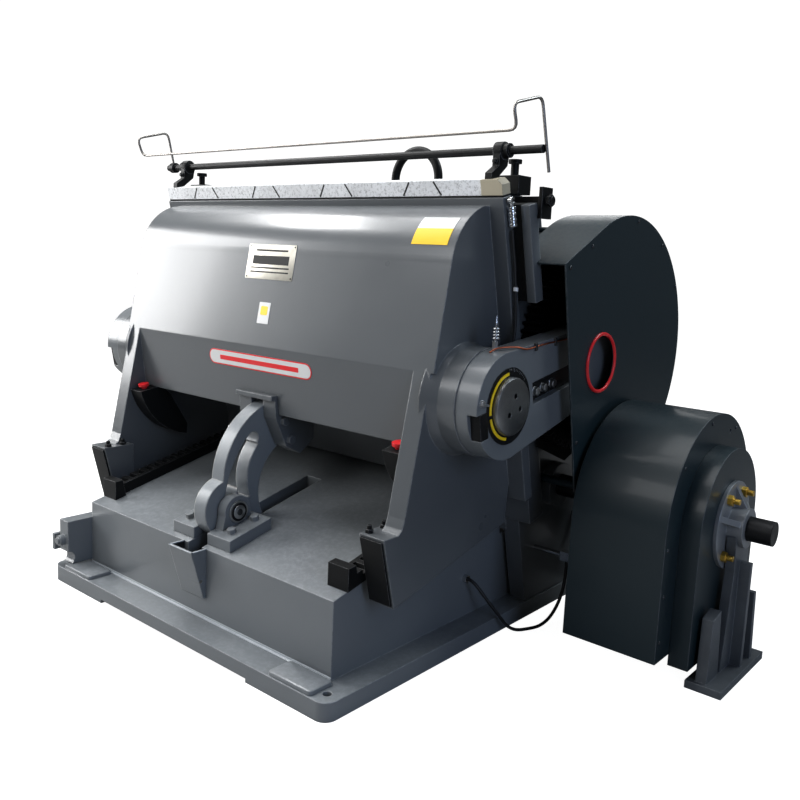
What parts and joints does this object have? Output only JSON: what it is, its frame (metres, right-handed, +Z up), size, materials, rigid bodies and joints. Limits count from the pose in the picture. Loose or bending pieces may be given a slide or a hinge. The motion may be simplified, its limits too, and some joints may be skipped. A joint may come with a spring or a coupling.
{
  "type": "die cutting machine",
  "caption": "Industrial platen creasing and die-cutting press: a rocking platen drawn shut by side arms from crank gears, with a guarded flywheel drive.",
  "frame": {"origin": "centre of the base flange at floor level", "axes": "+X to the flywheel side, +Y from the operator to the back, +Z up"},
  "size_m": [2.44, 1.846, 1.6972],
  "materials": {
    "base_casting": "semi-gloss paint",
    "arm_pocket": "semi-gloss paint",
    "track_racks": "satin black",
    "roller_blocks": "semi-gloss paint",
    "roller_pin": "machined",
    "bed_frame": "semi-gloss paint",
    "gear_stubs": "machined",
    "chase_frame": "painted",
    "chase_clamps": "satin black",
    "lifting_ring": "satin black",
    "switch_bracket": "satin black",
    "drive_belts": "matte",
    "motor": "semi-gloss paint",
    "motor_bracket": "semi-gloss paint",
    "gear_guard_right": "semi-gloss paint",
    "gear_guard_left": "semi-gloss paint",
    "guard_ring": "gloss",
    "flywheel_guard": "semi-gloss paint",
    "clutch_cover": "semi-gloss paint",
    "bearing_spider": "painted",
    "spider_nuts": "yellow zinc plate",
    "outboard_stand": "painted",
    "stop_bracket": "semi-gloss paint",
    "base_cable": "matte",
    "conduit": "bright",
    "platen_casting": "semi-gloss paint",
    "platen_plate": "machined",
    "strip_spacer": "matte",
    "top_strip": "speckled",
    "strip_block": "satin",
    "rod_brackets": "satin black",
    "limit_switch": "bright",
    "switch_hose": "matte",
    "cam_arm": "painted, worn",
    "arm_bracket": "semi-gloss paint",
    "stop_boxes": "satin black",
    "foot_fittings": "satin black",
    "side_arm_right": "semi-gloss paint",
    "arm_clamps_right": "satin black",
    "crank_pin_right": "machined",
    "scale_right": "matte",
    "oiler_right": "bright",
    "side_arm_left": "semi-gloss paint",
    "arm_clamps_left": "satin black",
    "crank_pin_left": "machined",
    "scale_left": "matte",
    "oiler_left": "bright",
    "dial_right": "oiled",
    "dial_left": "oiled",
    "bull_gear_right": "oiled",
    "bull_gear_left": "oiled",
    "cross_shaft": "oiled",
    "drive_shaft": "oiled",
    "flywheel": "painted",
    "motor_pulley": "painted",
    "cam_roller": "machined",
    "safety_rod": "satin black",
    "safety_wire": "bright",
    "stop_button_right": "gloss",
    "stop_button_left": "gloss"
  },
  "bodies": {
    "frame": {"base_casting": "base_casting", "arm_pocket": "arm_pocket", "track_racks": "track_racks", "roller_blocks": "roller_blocks", "roller_pin": "roller_pin", "bed_frame": "bed_frame", "gear_stubs": "gear_stubs", "chase_frame": "chase_frame", "chase_clamps": "chase_clamps", "lifting_ring": "lifting_ring", "switch_bracket": "switch_bracket", "drive_belts": "drive_belts", "motor": "motor", "motor_bracket": "motor_bracket", "gear_guard_right": "gear_guard_right", "gear_guard_left": "gear_guard_left", "guard_ring": "guard_ring", "flywheel_guard": "flywheel_guard", "clutch_cover": "clutch_cover", "bearing_spider": "bearing_spider", "spider_nuts": "spider_nuts", "outboard_stand": "outboard_stand", "stop_bracket": "stop_bracket", "base_cable": "base_cable", "conduit": "conduit"},
    "platen": {"platen_casting": "platen_casting", "platen_plate": "platen_plate", "strip_spacer": "strip_spacer", "top_strip": "top_strip", "strip_block": "strip_block", "rod_brackets": "rod_brackets", "limit_switch": "limit_switch", "switch_hose": "switch_hose", "cam_arm": "cam_arm", "arm_bracket": "arm_bracket", "stop_boxes": "stop_boxes", "foot_fittings": "foot_fittings"},
    "arm_right": {"side_arm_right": "side_arm_right", "arm_clamps_right": "arm_clamps_right", "crank_pin_right": "crank_pin_right", "scale_right": "scale_right", "oiler_right": "oiler_right"},
    "arm_left": {"side_arm_left": "side_arm_left", "arm_clamps_left": "arm_clamps_left", "crank_pin_left": "crank_pin_left", "scale_left": "scale_left", "oiler_left": "oiler_left"},
    "dial_right": {"dial_right": "dial_right"},
    "dial_left": {"dial_left": "dial_left"},
    "gear_right": {"bull_gear_right": "bull_gear_right"},
    "gear_left": {"bull_gear_left": "bull_gear_left"},
    "cross_shaft": {"cross_shaft": "cross_shaft"},
    "drive_shaft": {"drive_shaft": "drive_shaft"},
    "flywheel": {"flywheel": "flywheel"},
    "motor_pulley": {"motor_pulley": "motor_pulley"},
    "cam_roller": {"cam_roller": "cam_roller"},
    "safety_bar": {"safety_rod": "safety_rod", "safety_wire": "safety_wire"},
    "button_right": {"stop_button_right": "stop_button_right"},
    "button_left": {"stop_button_left": "stop_button_left"}
  },
  "joints": [
    {"name": "platen_tilt", "type": "hinge", "parent": "frame", "child": "platen", "pos_m": [0, -0.181, 0.38], "axis": [1, 0, 0], "range_deg": [0, 40]},
    {"name": "arm_right_swing", "type": "hinge", "parent": "platen", "child": "arm_right", "pos_m": [0.875, -0.25, 0.842], "axis": [1, 0, 0], "range_deg": [-34, 0]},
    {"name": "arm_left_swing", "type": "hinge", "parent": "platen", "child": "arm_left", "pos_m": [-0.875, -0.25, 0.842], "axis": [1, 0, 0], "range_deg": [-34, 0]},
    {"name": "gear_right_turn", "type": "hinge", "parent": "frame", "child": "gear_right", "pos_m": [0.798, 0.348, 0.955], "axis": [1, 0, 0], "range_deg": [0, 186]},
    {"name": "gear_left_turn", "type": "hinge", "parent": "frame", "child": "gear_left", "pos_m": [-0.798, 0.348, 0.955], "axis": [1, 0, 0], "range_deg": [0, 186]},
    {"name": "cross_shaft_turn", "type": "hinge", "parent": "frame", "child": "cross_shaft", "pos_m": [0, 0.60122, 0.66632], "axis": [1, 0, 0], "range_deg": [-1089.43, 0]},
    {"name": "drive_shaft_turn", "type": "hinge", "parent": "frame", "child": "drive_shaft", "pos_m": [0, 0.377, 0.467], "axis": [1, 0, 0], "range_deg": [0, 2178.86]},
    {"name": "cam_roller_turn", "type": "hinge", "parent": "frame", "child": "cam_roller", "pos_m": [0, -0.528, 0.396], "axis": [1, 0, 0], "range_deg": [-640, 0]},
    {"name": "flywheel_spin", "type": "hinge", "parent": "frame", "child": "flywheel", "pos_m": [1.097, 0.377, 0.467], "axis": [1, 0, 0], "continuous": true},
    {"name": "motor_pulley_spin", "type": "hinge", "parent": "frame", "child": "motor_pulley", "pos_m": [1.097, 0.94, 0.21], "axis": [1, 0, 0], "continuous": true},
    {"name": "dial_right_turn", "type": "hinge", "parent": "arm_right", "child": "dial_right", "pos_m": [0.875, -0.25, 0.842], "axis": [1, 0, 0], "range_deg": [-90, 90]},
    {"name": "dial_left_turn", "type": "hinge", "parent": "arm_left", "child": "dial_left", "pos_m": [-0.875, -0.25, 0.842], "axis": [1, 0, 0], "range_deg": [-90, 90]},
    {"name": "safety_bar_swing", "type": "hinge", "parent": "platen", "child": "safety_bar", "pos_m": [0, -0.133, 1.562], "axis": [1, 0, 0], "range_deg": [-25, 25], "stiffness_Nm_per_rad": 25},
    {"name": "button_right_press", "type": "slide", "parent": "platen", "child": "button_right", "axis": [0, 0.1736, -0.9848], "range_m": [0, 0.008], "stiffness_N_per_m": 600},
    {"name": "button_left_press", "type": "slide", "parent": "platen", "child": "button_left", "axis": [0, 0.1736, -0.9848], "range_m": [0, 0.008], "stiffness_N_per_m": 600}
  ],
  "couplings": [
    {"joint": "arm_right_swing", "follows": "platen_tilt", "ratio": -0.85},
    {"joint": "arm_left_swing", "follows": "platen_tilt", "ratio": -0.85},
    {"joint": "gear_right_turn", "follows": "platen_tilt", "ratio": 4.65},
    {"joint": "gear_left_turn", "follows": "platen_tilt", "ratio": 4.65},
    {"joint": "cross_shaft_turn", "follows": "platen_tilt", "ratio": -27.236},
    {"joint": "drive_shaft_turn", "follows": "platen_tilt", "ratio": 54.471},
    {"joint": "cam_roller_turn", "follows": "platen_tilt", "ratio": -16},
    {"joint": "motor_pulley_spin", "follows": "flywheel_spin", "ratio": 3.3333}
  ]
}
